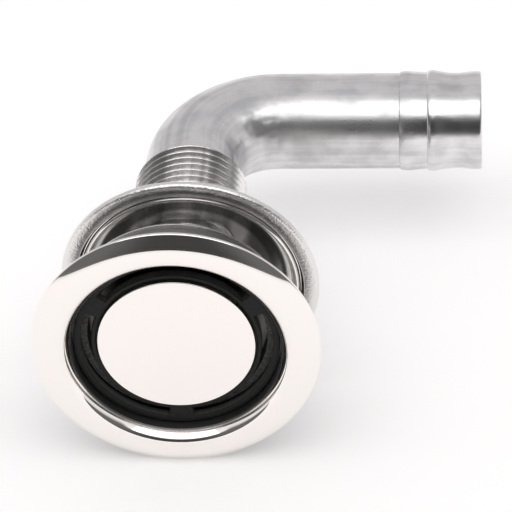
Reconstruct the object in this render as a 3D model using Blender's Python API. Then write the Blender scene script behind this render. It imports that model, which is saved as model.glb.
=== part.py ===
# Thru hull fitting: a flush face flange on a threaded stem, with a bent hose tail,
# a loose dished backing ring and the lock nut that clamps it.
# The stem axis is Y. The face looks along -Y, the hose tail leaves along +X, +Z is up.
# The origin is the centre of the flange's flat back, where it seats on the hull.

import math

import bmesh
import bpy
from mathutils import Matrix, Vector

MM = 0.001
SEAT_GAP = 0.3 * MM            # clearance left between pieces that touch on the real fitting
FULL_TURN = 2.0 * math.pi
QUARTER_TURN = 0.5 * math.pi

# face flange, turned with its recess and barrel in one piece
FLANGE_RADIUS = 25.75 * MM
RIM_THICKNESS = 1.0 * MM       # from the flat back to the centre of the rim's front rounding
RIM_BACK_CHAMFER = 0.75 * MM
RIM_FRONT_ROUNDING = 0.35 * MM
LIP_CREST_RADIUS = 20.8 * MM
LIP_HEIGHT = 2.98 * MM
LIP_ROUNDING = 1.4 * MM
DOME_START = math.radians(3.0)
THROAT_SLOPE = math.radians(55.0)
THROAT_RADIUS = 18.7 * MM
BARREL_RADIUS = 21.2 * MM
BARREL_STRAIGHT = 3.6 * MM
BARREL_SHOULDER_RADIUS = 19.4 * MM
BARREL_BACK_ROUNDING = 1.2 * MM
BARREL_BACK_WALL = 3.0 * MM
CHAMBER_RADIUS = 17.6 * MM
FLANGE_STEPS = 64
LIP_ARC_STEPS = 6
DOME_ARC_STEPS = 8
RIM_ARC_STEPS = 3
SHOULDER_ARC_STEPS = 4
DOME_PASSES = 12               # enough for the dome's end slope to settle

# black baffle pressed into the recess
BAFFLE_FRONT = 0.6 * MM
BAFFLE_THICKNESS = 1.6 * MM
BAFFLE_HUB_BACK = 3.3 * MM
BAFFLE_HUB_RADIUS = 6.0 * MM
BAFFLE_WEB_BACK = 2.6 * MM
SLOT_INNER_RADIUS = 15.2 * MM
SLOT_OUTER_RADIUS = 17.2 * MM
SLOT_COUNT = 3
SLOT_STEPS = 12
BRIDGE_WIDTH = 4.0 * MM
FIRST_BRIDGE_ANGLE = math.radians(30.0)
BAFFLE_STEPS = 60

# steel centre cap with its stud, washer and nut
CAP_RADIUS = 14.1 * MM
CAP_FRONT = -0.05 * MM
CAP_THICKNESS = 1.2 * MM
CAP_EDGE = 0.2 * MM
STUD_RADIUS = 2.0 * MM
CAP_WASHER_RADIUS = 4.5 * MM
CAP_WASHER_THICKNESS = 0.6 * MM
CAP_NUT_FLATS = 6.4 * MM
CAP_NUT_HEIGHT = 1.8 * MM
CAP_STEPS = 60

# flame screen at the back of the chamber and the spacer that holds it there
SCREEN_THICKNESS = 0.6 * MM
SCREEN_RADIUS = CHAMBER_RADIUS - SEAT_GAP
SCREEN_HOLE_RADIUS = 1.0 * MM
SCREEN_HOLE_PITCH = 2.9 * MM
SCREEN_HOLE_ROWS = 2
SCREEN_HOLE_SIDES = 6
SPACER_WALL = 1.2 * MM
CAP_NUT_TO_SCREEN = 0.7 * MM
SCREEN_STEPS = 48

# the barrel is as deep as the stack of pieces inside it
CAP_STACK_BACK = BAFFLE_HUB_BACK + CAP_WASHER_THICKNESS + CAP_NUT_HEIGHT + 2.0 * SEAT_GAP
CHAMBER_BACK = CAP_STACK_BACK + CAP_NUT_TO_SCREEN + SCREEN_THICKNESS + SEAT_GAP
BARREL_DEPTH = CHAMBER_BACK + BARREL_BACK_WALL

# one bore runs through stem and tail
TUBE_RADIUS = 9.1 * MM
TUBE_WALL = 1.5 * MM
FLOW_RADIUS = TUBE_RADIUS - TUBE_WALL

# threaded stem, a plain cylinder on the thread's major radius
THREAD_RADIUS = 10.4775 * MM   # half of the 20.955 mm major diameter of a G 1/2 thread
STEM_END = 46.0 * MM
STEM_CHAMFER = 0.3 * MM
STEM_STEPS = 56

# bent hose tail
TAIL_AXIS_Y = 67.3 * MM
BEND_RADIUS = 15.5 * MM
TAIL_END_X = 54.2 * MM
BEND_STEPS = 12
TAIL_STEPS = 32
BARB_1_START = 38.6 * MM
BARB_1_CREST = 40.4 * MM
BARB_1_HEIGHT = 0.4 * MM
BARB_2_START = 43.9 * MM
BARB_2_CREST = 44.9 * MM
BARB_2_HEIGHT = 0.55 * MM
BARB_STEP = 0.12 * MM
WAIST_X = 49.3 * MM
WAIST_DEPTH = 0.05 * MM
END_FLARE_X = 52.4 * MM
END_FLARE_HEIGHT = 0.25 * MM
END_ROUNDING = 0.45 * MM
END_ROUNDING_SHARE = 0.3       # the rounding's middle point, as a share of its size on both axes
BARB_1_RADIUS = TUBE_RADIUS + BARB_1_HEIGHT
BARB_2_RADIUS = TUBE_RADIUS + BARB_2_HEIGHT
WAIST_RADIUS = TUBE_RADIUS - WAIST_DEPTH
END_FLARE_RADIUS = TUBE_RADIUS + END_FLARE_HEIGHT

# loose backing ring, dished towards the hull, leaning back on the nut
RING_ASIDE = 1.3 * MM
RING_SETBACK = 19.3 * MM
RING_DROP = 1.05 * MM
RING_LEAN_X = math.radians(3.35)
RING_LEAN_Z = math.radians(1.6)
RING_RADIUS = 23.5 * MM
RING_RIM_ROUNDING = 0.9 * MM
RING_RIM_CENTRE = 0.08 * MM    # the round rim's centre lies this far behind the land
RING_RIM_TURN = math.radians(67.0)
RING_LIP_WIDTH = 2.55 * MM
RING_LIP_HEIGHT = 0.55 * MM
RING_LIP_END_SLOPE = math.radians(12.0)
SEAL_WIDTH = 0.35 * MM
SEAL_DEPTH = 0.9 * MM
RING_LAND_WIDTH = 0.8 * MM
RING_DISH_DEPTH = 2.9 * MM
RING_DISH_WALL_WIDTH = 2.8 * MM
RING_HOLE_RADIUS = 12.6 * MM
RING_HUB_RADIUS = 15.0 * MM
RING_HUB_CHAMFER = 0.6 * MM
RING_HUB_WALL = 1.7 * MM
RING_HUB_BACK = RING_DISH_DEPTH + RING_HUB_WALL
RING_STEPS = 60
RING_RIM_ARC_STEPS = 7
RING_LIP_ARC_STEPS = 4
RING_DISH_ARC_STEPS = 5

# hex lock nut
NUT_FLATS = 27.0 * MM
NUT_FRONT = 24.8 * MM
NUT_THICKNESS = 5.5 * MM
NUT_THREAD_CLEARANCE = 0.08 * MM
NUT_CHAMFER_ANGLE = math.radians(30.0)
NUT_FACE_SHARE = 0.985         # the round end face, as a share of the size across flats
NUT_EDGE_BREAK = 0.02 * MM
NUT_STEPS = 60
CAP_NUT_STEPS = 24

BOOLEAN_OVERSHOOT = 1.0 * MM
MERGE_DISTANCE = 0.0001 * MM
SHARP_ANGLE = math.radians(35.0)

# colours are linear RGB
POLISHED_STEEL = (0.80, 0.78, 0.77)
SATIN_STEEL = (0.52, 0.51, 0.50)
TUBE_STEEL = (0.66, 0.66, 0.67)
DARK_BAFFLE = (0.018, 0.018, 0.017)
SEAL_BLACK = (0.012, 0.012, 0.012)
SCREEN_STEEL = (0.32, 0.31, 0.30)


def clear_scene():
    """Start from an empty scene."""
    for old in list(bpy.data.objects):
        bpy.data.objects.remove(old, do_unlink=True)


def make_material(name, colour, roughness, metallic):
    """One Principled material with plain values."""
    material = bpy.data.materials.new(name)
    material.use_nodes = True
    shader = material.node_tree.nodes["Principled BSDF"]
    shader.inputs["Base Color"].default_value = (*colour, 1.0)
    shader.inputs["Roughness"].default_value = roughness
    shader.inputs["Metallic"].default_value = metallic
    material.diffuse_color = (*colour, 1.0)
    return material


def finish(name, mesh_data, material):
    """Link a bmesh as a named object with outward faces and smooth shading."""
    bmesh.ops.remove_doubles(mesh_data, verts=mesh_data.verts, dist=MERGE_DISTANCE)
    bmesh.ops.recalc_face_normals(mesh_data, faces=mesh_data.faces)
    mesh = bpy.data.meshes.new(name)
    mesh_data.to_mesh(mesh)
    mesh_data.free()
    mesh.materials.append(material)
    mesh.shade_smooth()
    mesh.set_sharp_from_angle(angle=SHARP_ANGLE)
    result = bpy.data.objects.new(name, mesh)
    bpy.context.scene.collection.objects.link(result)
    return result


def arc(centre_r, centre_y, radius_r, radius_y, start, end, count):
    """Points of an elliptical arc in the (radius, y) half plane."""
    points = []
    for i in range(count + 1):
        angle = start + (end - start) * i / count
        points.append((centre_r + radius_r * math.cos(angle), centre_y + radius_y * math.sin(angle)))
    return points


def revolve(name, profile, steps, material):
    """Turn a closed (radius, y) profile about the Y axis into one closed body."""
    mesh_data = bmesh.new()
    verts = [mesh_data.verts.new((radius, y, 0.0)) for radius, y in profile]
    edges = []
    for i, vert in enumerate(verts):
        edges.append(mesh_data.edges.new((vert, verts[(i + 1) % len(verts)])))
    bmesh.ops.spin(
        mesh_data,
        geom=verts + edges,
        cent=(0.0, 0.0, 0.0),
        axis=(0.0, 1.0, 0.0),
        angle=FULL_TURN,
        steps=steps,
        use_merge=True,
    )
    flat = [e for e in mesh_data.edges if not e.link_faces]
    bmesh.ops.delete(mesh_data, geom=flat, context="EDGES")
    return finish(name, mesh_data, material)


def hex_ring(name, flats, front, thickness, hole_radius, steps, material):
    """A hexagonal nut with a round hole and chamfered corners, a flat side up."""
    corner = flats / 2.0 / math.cos(math.pi / 6.0)
    drop = (corner - flats / 2.0) * math.tan(NUT_CHAMFER_ANGLE)
    mesh_data = bmesh.new()
    loops = []
    for side in (front, front + thickness):
        inward = 1.0 if side == front else -1.0
        hole = []
        face = []
        outer = []
        for i in range(steps):
            angle = FULL_TURN * i / steps
            from_flat = (angle + math.pi / 6.0) % (math.pi / 3.0) - math.pi / 6.0
            # flats face +Z, so the angle from the nearest flat is measured from the Z axis
            radius = flats / 2.0 / math.cos(from_flat)
            past_flat = (radius - flats / 2.0) / (corner - flats / 2.0)
            direction = Vector((math.sin(angle), 0.0, math.cos(angle)))
            end_centre = Vector((0.0, side, 0.0))
            face_radius = flats / 2.0 * NUT_FACE_SHARE
            hole.append(mesh_data.verts.new(direction * hole_radius + end_centre))
            face.append(mesh_data.verts.new(direction * face_radius + end_centre))
            edge_y = side + inward * (drop * past_flat + NUT_EDGE_BREAK)
            outer.append(mesh_data.verts.new(direction * radius + Vector((0.0, edge_y, 0.0))))
        loops.append((hole, face, outer))
    front_hole, front_face, front_outer = loops[0]
    back_hole, back_face, back_outer = loops[1]
    chain = [front_hole, front_face, front_outer, back_outer, back_face, back_hole]
    for k, ring_a in enumerate(chain):
        ring_b = chain[(k + 1) % len(chain)]
        for i in range(steps):
            j = (i + 1) % steps
            mesh_data.faces.new((ring_a[i], ring_a[j], ring_b[j], ring_b[i]))
    return finish(name, mesh_data, material)


def cut(target, cutter):
    """Subtract a hidden cutter from a target with an exact boolean."""
    cutter.hide_render = True
    cutter.display_type = "WIRE"
    modifier = target.modifiers.new("cut_" + cutter.name, "BOOLEAN")
    modifier.operation = "DIFFERENCE"
    modifier.solver = "EXACT"
    modifier.object = cutter


def arc_between(start, end, end_slope, count):
    """Arc between two profile points that reaches the second one at a given slope."""
    chord_slope = math.atan2(end[1] - start[1], end[0] - start[0])
    start_slope = 2.0 * chord_slope - end_slope
    radius = (end[0] - start[0]) / (math.sin(end_slope) - math.sin(start_slope))
    centre_r = start[0] - radius * math.sin(start_slope)
    centre_y = start[1] + radius * math.cos(start_slope)
    return arc(centre_r, centre_y, radius, radius,
               start_slope - QUARTER_TURN, end_slope - QUARTER_TURN, count)


def dome_end_slope(start, rim_r, rim_y):
    """Slope at which a dome that starts at DOME_START runs smoothly into the rim's rounding."""
    slope = DOME_START
    for _ in range(DOME_PASSES):
        end_r = rim_r + RIM_FRONT_ROUNDING * math.sin(slope)
        end_y = rim_y - RIM_FRONT_ROUNDING * math.cos(slope)
        slope = 2.0 * math.atan2(end_y - start[1], end_r - start[0]) - DOME_START
    return slope


def build_face_flange(material):
    """Domed face, rounded lip, throat, chamber and stepped barrel, turned as one piece."""
    lip_y = LIP_ROUNDING - LIP_HEIGHT
    lip = arc(LIP_CREST_RADIUS, lip_y, LIP_ROUNDING, LIP_ROUNDING,
              -THROAT_SLOPE - QUARTER_TURN, DOME_START - QUARTER_TURN, LIP_ARC_STEPS)
    throat_top_r, throat_top_y = lip[0]
    throat_y = throat_top_y + (throat_top_r - THROAT_RADIUS) * math.tan(THROAT_SLOPE)
    rim_r = FLANGE_RADIUS - RIM_FRONT_ROUNDING
    end_slope = dome_end_slope(lip[-1], rim_r, -RIM_THICKNESS)
    rim = arc(rim_r, -RIM_THICKNESS, RIM_FRONT_ROUNDING, RIM_FRONT_ROUNDING,
              end_slope - QUARTER_TURN, 0.0, RIM_ARC_STEPS)
    dome = arc_between(lip[-1], rim[0], end_slope, DOME_ARC_STEPS)[1:-1]
    rim += [(FLANGE_RADIUS, -RIM_BACK_CHAMFER), (FLANGE_RADIUS - RIM_BACK_CHAMFER, 0.0)]
    barrel = [(BARREL_RADIUS, 0.0), (BARREL_RADIUS, BARREL_STRAIGHT)]
    shoulder = arc(BARREL_SHOULDER_RADIUS - BARREL_BACK_ROUNDING, BARREL_DEPTH - BARREL_BACK_ROUNDING,
                   BARREL_BACK_ROUNDING, BARREL_BACK_ROUNDING, 0.0, QUARTER_TURN, SHOULDER_ARC_STEPS)
    stem_hole = THREAD_RADIUS + SEAT_GAP
    ledge = BAFFLE_FRONT + BAFFLE_THICKNESS + SEAT_GAP
    inside = [
        (stem_hole, BARREL_DEPTH),
        (stem_hole, CHAMBER_BACK),
        (CHAMBER_RADIUS, CHAMBER_BACK),
        (CHAMBER_RADIUS, ledge),
        (THROAT_RADIUS, ledge),
        (THROAT_RADIUS, throat_y),
    ]
    return revolve("face_flange", lip + dome + rim + barrel + shoulder + inside, FLANGE_STEPS, material)


def slot_shapes():
    """Mesh data of the curved slots between the baffle's bridges."""
    mesh_data = bmesh.new()
    low = BAFFLE_FRONT - BOOLEAN_OVERSHOOT
    high = BAFFLE_HUB_BACK + BOOLEAN_OVERSHOOT
    middle = 0.5 * (SLOT_INNER_RADIUS + SLOT_OUTER_RADIUS)
    bridge_angle = BRIDGE_WIDTH / middle
    for slot in range(SLOT_COUNT):
        start = FIRST_BRIDGE_ANGLE + FULL_TURN * slot / SLOT_COUNT + bridge_angle / 2.0
        sweep = FULL_TURN / SLOT_COUNT - bridge_angle
        rings = []
        for i in range(SLOT_STEPS + 1):
            angle = start + sweep * i / SLOT_STEPS
            corners = []
            for radius, y in ((SLOT_INNER_RADIUS, low), (SLOT_OUTER_RADIUS, low),
                              (SLOT_OUTER_RADIUS, high), (SLOT_INNER_RADIUS, high)):
                corners.append(mesh_data.verts.new((radius * math.cos(angle), y, radius * math.sin(angle))))
            rings.append(corners)
        for first, second in zip(rings, rings[1:]):
            for k in range(4):
                mesh_data.faces.new((first[k], first[(k + 1) % 4], second[(k + 1) % 4], second[k]))
        mesh_data.faces.new(rings[0])
        mesh_data.faces.new(rings[-1])
    return mesh_data


def build_baffle(material):
    """Black moulded baffle: a slotted annulus with a pocket for the cap and a central hub."""
    outer = THROAT_RADIUS - SEAT_GAP
    pocket = CAP_RADIUS + SEAT_GAP
    pocket_floor = CAP_FRONT + CAP_THICKNESS + SEAT_GAP
    hub_hole = STUD_RADIUS + SEAT_GAP
    back = BAFFLE_FRONT + BAFFLE_THICKNESS
    profile = [
        (hub_hole, pocket_floor),
        (pocket, pocket_floor),
        (pocket, BAFFLE_FRONT),
        (outer, BAFFLE_FRONT),
        (outer, back),
        (SLOT_INNER_RADIUS, back),
        (pocket - SEAT_GAP, BAFFLE_WEB_BACK),
        (BAFFLE_HUB_RADIUS, BAFFLE_WEB_BACK),
        (BAFFLE_HUB_RADIUS, BAFFLE_HUB_BACK),
        (hub_hole, BAFFLE_HUB_BACK),
    ]
    baffle = revolve("baffle", profile, BAFFLE_STEPS, material)
    cutter = finish("slot_cutter", slot_shapes(), material)
    cut(baffle, cutter)
    return baffle


def build_centre_cap(material):
    """Flat polished disc with a stud behind it that passes through the baffle."""
    back = CAP_FRONT + CAP_THICKNESS
    profile = [
        (0.0, CAP_FRONT),
        (CAP_RADIUS - CAP_EDGE, CAP_FRONT),
        (CAP_RADIUS, CAP_FRONT + CAP_EDGE),
        (CAP_RADIUS, back),
        (STUD_RADIUS, back),
        (STUD_RADIUS, CAP_STACK_BACK),
        (0.0, CAP_STACK_BACK),
    ]
    return revolve("centre_cap", profile, CAP_STEPS, material)


def build_cap_washer(material):
    """Flat washer between the baffle hub and the cap nut."""
    front = BAFFLE_HUB_BACK + SEAT_GAP
    back = front + CAP_WASHER_THICKNESS
    hole = STUD_RADIUS + SEAT_GAP
    profile = [(hole, front), (CAP_WASHER_RADIUS, front), (CAP_WASHER_RADIUS, back), (hole, back)]
    return revolve("cap_washer", profile, SCREEN_STEPS, material)


def build_flame_screen(material):
    """Perforated disc over the stem's mouth."""
    back = CHAMBER_BACK - SEAT_GAP
    front = back - SCREEN_THICKNESS
    profile = [(0.0, front), (SCREEN_RADIUS, front), (SCREEN_RADIUS, back), (0.0, back)]
    screen = revolve("flame_screen", profile, SCREEN_STEPS, material)
    mesh_data = bmesh.new()
    low = front - BOOLEAN_OVERSHOOT
    high = back + BOOLEAN_OVERSHOOT
    sides = SCREEN_HOLE_SIDES
    for row in range(-SCREEN_HOLE_ROWS, SCREEN_HOLE_ROWS + 1):
        count = 2 * SCREEN_HOLE_ROWS + 1 - abs(row)
        for column in range(count):
            x = (column - (count - 1) / 2.0) * SCREEN_HOLE_PITCH
            z = row * SCREEN_HOLE_PITCH * math.cos(math.pi / 6.0)
            near = []
            far = []
            for k in range(sides):
                angle = FULL_TURN * k / sides
                px = x + SCREEN_HOLE_RADIUS * math.cos(angle)
                pz = z + SCREEN_HOLE_RADIUS * math.sin(angle)
                near.append(mesh_data.verts.new((px, low, pz)))
                far.append(mesh_data.verts.new((px, high, pz)))
            mesh_data.faces.new(near)
            mesh_data.faces.new(far)
            for k in range(sides):
                nxt = (k + 1) % sides
                mesh_data.faces.new((near[k], near[nxt], far[nxt], far[k]))
    cutter = finish("screen_cutter", mesh_data, material)
    cut(screen, cutter)
    return screen


def build_screen_spacer(material):
    """Sleeve between the baffle and the flame screen."""
    front = BAFFLE_WEB_BACK + SEAT_GAP
    back = CHAMBER_BACK - 2.0 * SEAT_GAP - SCREEN_THICKNESS
    outer = SCREEN_RADIUS
    inner = outer - SPACER_WALL
    profile = [(inner, front), (outer, front), (outer, back), (inner, back)]
    return revolve("screen_spacer", profile, SCREEN_STEPS, material)


def build_threaded_stem(material):
    """Hollow stem on the thread's major radius, with a chamfered end."""
    profile = [
        (FLOW_RADIUS, CHAMBER_BACK),
        (THREAD_RADIUS, CHAMBER_BACK),
        (THREAD_RADIUS, STEM_END - STEM_CHAMFER),
        (THREAD_RADIUS - STEM_CHAMFER, STEM_END),
        (FLOW_RADIUS, STEM_END),
    ]
    return revolve("threaded_stem", profile, STEM_STEPS, material)


def tail_stations():
    """Centre, direction and outer radius at each station of the bent hose tail."""
    stations = []
    bend_start_y = TAIL_AXIS_Y - BEND_RADIUS
    stations.append((Vector((0.0, STEM_END + SEAT_GAP, 0.0)), Vector((0.0, 1.0, 0.0)), TUBE_RADIUS))
    for i in range(BEND_STEPS + 1):
        angle = QUARTER_TURN * i / BEND_STEPS
        across = BEND_RADIUS * (1.0 - math.cos(angle))
        centre = Vector((across, bend_start_y + BEND_RADIUS * math.sin(angle), 0.0))
        direction = Vector((math.sin(angle), math.cos(angle), 0.0))
        stations.append((centre, direction, TUBE_RADIUS))
    straight = [
        (BARB_1_START, TUBE_RADIUS),
        (BARB_1_START + BARB_STEP, TUBE_RADIUS + 2.0 * BARB_STEP),
        (BARB_1_CREST, BARB_1_RADIUS),
        (BARB_2_START, TUBE_RADIUS + BARB_STEP),
        (BARB_2_START + BARB_STEP, TUBE_RADIUS + 3.0 * BARB_STEP),
        (BARB_2_CREST, BARB_2_RADIUS),
        (0.5 * (BARB_2_CREST + WAIST_X), 0.5 * (BARB_2_RADIUS + WAIST_RADIUS) - BARB_STEP),
        (WAIST_X, WAIST_RADIUS),
        (END_FLARE_X, END_FLARE_RADIUS),
        (TAIL_END_X - END_ROUNDING, END_FLARE_RADIUS),
        (TAIL_END_X - END_ROUNDING_SHARE * END_ROUNDING,
         END_FLARE_RADIUS - END_ROUNDING_SHARE * END_ROUNDING),
        (TAIL_END_X, END_FLARE_RADIUS - END_ROUNDING),
    ]
    for x, radius in straight:
        stations.append((Vector((x, TAIL_AXIS_Y, 0.0)), Vector((1.0, 0.0, 0.0)), radius))
    return stations


def build_elbow_tail(material):
    """Bent hose tail: one hollow wall swept along line, arc and barbed line."""
    stations = tail_stations()
    mesh_data = bmesh.new()
    up = Vector((0.0, 0.0, 1.0))

    def ring(centre, direction, radius):
        side = direction.cross(up).normalized()
        loop = []
        for k in range(TAIL_STEPS):
            angle = FULL_TURN * k / TAIL_STEPS
            outward = side * math.cos(angle) + up * math.sin(angle)
            loop.append(mesh_data.verts.new(centre + outward * radius))
        return loop

    outer = [ring(centre, direction, radius) for centre, direction, radius in stations]
    inner_stations = stations[:BEND_STEPS + 2] + [stations[-1]]
    inner = [ring(centre, direction, FLOW_RADIUS) for centre, direction, radius in inner_stations]
    chain = outer + list(reversed(inner))
    for k, ring_a in enumerate(chain):
        ring_b = chain[(k + 1) % len(chain)]
        for i in range(TAIL_STEPS):
            j = (i + 1) % TAIL_STEPS
            mesh_data.faces.new((ring_a[i], ring_a[j], ring_b[j], ring_b[i]))
    return finish("elbow_tail", mesh_data, material)


def ring_placement():
    """The loose ring's pose: off the stem's axis and leaning back on the nut."""
    lean = Matrix.Rotation(RING_LEAN_X, 4, "X") @ Matrix.Rotation(-RING_LEAN_Z, 4, "Z")
    return Matrix.Translation((RING_ASIDE, RING_SETBACK, -RING_DROP)) @ lean


def seal_radii():
    """Inner and outer radius of the seal in the ring's face."""
    outer = RING_RADIUS - RING_LIP_WIDTH - SEAT_GAP
    return outer - SEAL_WIDTH, outer


def build_backing_ring(material):
    """Crowned lip, round rim, seal groove, land and dish, turned as one ring with a clearance hole."""
    seal_inner, seal_outer = seal_radii()
    groove_inner = seal_inner - SEAT_GAP
    groove_outer = seal_outer + SEAT_GAP
    groove_floor = SEAL_DEPTH + SEAT_GAP
    rim = arc(RING_RADIUS - RING_RIM_ROUNDING, RING_RIM_CENTRE, RING_RIM_ROUNDING, RING_RIM_ROUNDING,
              RING_LIP_END_SLOPE - QUARTER_TURN, RING_RIM_TURN, RING_RIM_ARC_STEPS)
    lip = arc_between((groove_outer, -RING_LIP_HEIGHT), rim[0],
                      RING_LIP_END_SLOPE, RING_LIP_ARC_STEPS)[:-1]
    back = [
        (RING_HUB_RADIUS + RING_HUB_CHAMFER, RING_HUB_BACK - RING_HUB_CHAMFER),
        (RING_HUB_RADIUS, RING_HUB_BACK),
        (RING_HOLE_RADIUS, RING_HUB_BACK),
        (RING_HOLE_RADIUS, RING_DISH_DEPTH),
    ]
    dish_floor_r = groove_inner - RING_LAND_WIDTH - RING_DISH_WALL_WIDTH
    dish = arc(dish_floor_r, 0.0, RING_DISH_WALL_WIDTH, RING_DISH_DEPTH,
               QUARTER_TURN, 0.0, RING_DISH_ARC_STEPS)
    groove = [
        (groove_inner, 0.0),
        (groove_inner, groove_floor),
        (groove_outer, groove_floor),
    ]
    ring = revolve("backing_ring", lip + rim + back + dish + groove, RING_STEPS, material)
    ring.matrix_world = ring_placement()
    return ring


def build_ring_seal(material):
    """Thin rubber seal in the backing ring's groove."""
    inner, outer = seal_radii()
    profile = [(inner, 0.0), (outer, 0.0), (outer, SEAL_DEPTH), (inner, SEAL_DEPTH)]
    seal = revolve("ring_seal", profile, RING_STEPS, material)
    seal.matrix_world = ring_placement()
    return seal


def build_lock_nut(material):
    """Hex nut that runs on the stem's thread behind the ring."""
    hole = THREAD_RADIUS + NUT_THREAD_CLEARANCE
    nut = hex_ring("lock_nut", NUT_FLATS, 0.0, NUT_THICKNESS, hole, NUT_STEPS, material)
    nut.location = (0.0, NUT_FRONT, 0.0)
    return nut


def build_cap_nut(material):
    """Small hex nut on the cap's stud."""
    front = CAP_STACK_BACK - CAP_NUT_HEIGHT
    hole = STUD_RADIUS + SEAT_GAP
    return hex_ring("cap_nut", CAP_NUT_FLATS, front, CAP_NUT_HEIGHT, hole, CAP_NUT_STEPS, material)


def build_part():
    """Build every named piece of the fitting."""
    clear_scene()
    polished = make_material("polished_steel", POLISHED_STEEL, 0.08, 1.0)
    cap_steel = make_material("cap_steel", POLISHED_STEEL, 0.06, 1.0)
    ring_steel = make_material("ring_steel", POLISHED_STEEL, 0.16, 1.0)
    thread_steel = make_material("thread_steel", SATIN_STEEL, 0.28, 1.0)
    tube_steel = make_material("tube_steel", TUBE_STEEL, 0.24, 1.0)
    nut_steel = make_material("nut_steel", SATIN_STEEL, 0.25, 1.0)
    small_steel = make_material("small_steel", SATIN_STEEL, 0.30, 1.0)
    screen_steel = make_material("screen_steel", SCREEN_STEEL, 0.45, 1.0)
    spacer_plastic = make_material("spacer_plastic", DARK_BAFFLE, 0.55, 0.0)
    baffle_plastic = make_material("baffle_plastic", DARK_BAFFLE, 0.50, 0.0)
    seal_rubber = make_material("seal_rubber", SEAL_BLACK, 0.70, 0.0)

    build_face_flange(polished)
    build_baffle(baffle_plastic)
    build_centre_cap(cap_steel)
    build_cap_washer(small_steel)
    build_cap_nut(small_steel)
    build_flame_screen(screen_steel)
    build_screen_spacer(spacer_plastic)
    build_threaded_stem(thread_steel)
    build_elbow_tail(tube_steel)
    build_backing_ring(ring_steel)
    build_ring_seal(seal_rubber)
    build_lock_nut(nut_steel)


build_part()
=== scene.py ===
# %% [markdown]
# # A thru hull fitting, dressed for its photograph
# The real object is a vent or drain fitting for a boat's hull. A polished face seats on the
# hull's skin, a hollow threaded stem goes through it, and a bent tail takes a hose. The shapes
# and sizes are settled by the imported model, so this script loads that model as a frame and
# puts finer pieces and real finishes on it. The finer pieces keep the model's sizes.

# %% Load the frame
import math

import bmesh
import bpy
from mathutils import Matrix, Vector


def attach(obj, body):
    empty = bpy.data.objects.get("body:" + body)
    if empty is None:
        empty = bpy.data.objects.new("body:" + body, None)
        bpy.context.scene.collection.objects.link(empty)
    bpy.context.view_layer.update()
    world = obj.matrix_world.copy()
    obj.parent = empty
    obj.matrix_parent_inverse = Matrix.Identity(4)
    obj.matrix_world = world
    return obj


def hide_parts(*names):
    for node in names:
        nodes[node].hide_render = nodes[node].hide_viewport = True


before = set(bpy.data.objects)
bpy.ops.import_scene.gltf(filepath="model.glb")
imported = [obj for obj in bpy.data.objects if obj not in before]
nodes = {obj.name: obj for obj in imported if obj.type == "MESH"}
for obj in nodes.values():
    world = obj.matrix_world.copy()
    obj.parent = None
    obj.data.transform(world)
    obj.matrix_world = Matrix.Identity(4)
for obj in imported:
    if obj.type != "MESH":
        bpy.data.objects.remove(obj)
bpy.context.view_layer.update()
MM = 0.001
FULL_TURN = 2.0 * math.pi

# %% [markdown]
# ## Drawing a profile and turning it
# Most of the fitting is turned on a lathe, so most pieces start as half a cross-section that
# is turned about the stem's axis, which is Y here. The section could be a long list of
# points, but a short chain of lines and arcs says how the piece is made. Extruding a vertex
# draws a line, and spinning a vertex draws an arc. Each line gets a holding vertex close to
# both ends, so that the soft shading of a rounded corner does not spread over the flat face
# beside it and bend its mirror image.

# %% Profile tools
HOLD = 0.03 * MM
SHORT_HOLD = 0.2                # share of a line that is too short for the full hold
SAME_POINT = 0.0002 * MM


def start_at(radius, y):
    """A new section with its first vertex. X is the radius until the section is turned."""
    section = bmesh.new()
    return section, section.verts.new((radius, y, 0.0))


def point_to(section, tip, radius, y):
    """Extrude the tip to a new point."""
    tip = bmesh.ops.extrude_vert_indiv(section, verts=[tip])["verts"][0]
    tip.co = (radius, y, 0.0)
    return tip


def line_to(section, tip, radius, y):
    """Extrude the tip along a straight line, with a holding vertex near both ends."""
    start, end = tip.co.copy(), Vector((radius, y, 0.0))
    hold = (end - start).normalized() * min(HOLD, SHORT_HOLD * (end - start).length)
    for spot in (start + hold, end - hold, end):
        tip = point_to(section, tip, spot.x, spot.y)
    return tip


def arc_round(section, tip, radius, y, degrees, steps):
    """Spin the tip about a centre in the section's plane."""
    made = bmesh.ops.spin(section, geom=[tip], cent=(radius, y, 0.0), axis=(0.0, 0.0, 1.0),
                          angle=math.radians(degrees), steps=steps, use_merge=False)
    return [v for v in made["geom_last"] if isinstance(v, bmesh.types.BMVert)][0]


def turn(section, tip, steps):
    """Close the section and turn it once about the stem's axis."""
    section.verts.ensure_lookup_table()
    section.edges.new((tip, section.verts[0]))
    bmesh.ops.spin(section, geom=section.verts[:] + section.edges[:], cent=(0.0, 0.0, 0.0),
                   axis=(0.0, 1.0, 0.0), angle=FULL_TURN, steps=steps, use_merge=True)
    tidy(section)
    return section


def tidy(mesh_data):
    """Merge doubled points, drop loose edges and point every face outwards."""
    bmesh.ops.remove_doubles(mesh_data, verts=mesh_data.verts, dist=SAME_POINT)
    loose = [edge for edge in mesh_data.edges if not edge.link_faces]
    bmesh.ops.delete(mesh_data, geom=loose, context="EDGES")
    bmesh.ops.recalc_face_normals(mesh_data, faces=mesh_data.faces)


# %% [markdown]
# ## Putting a piece on the frame
# A finished piece takes the name of what it is, rides on one of the frame's bodies, stands
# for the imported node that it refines, and takes one of the record's finishes. Its edges are
# sharp where two faces meet at a real corner and soft elsewhere.

# %% Piece tools
CORNER_ANGLE = math.radians(35.0)


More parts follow.
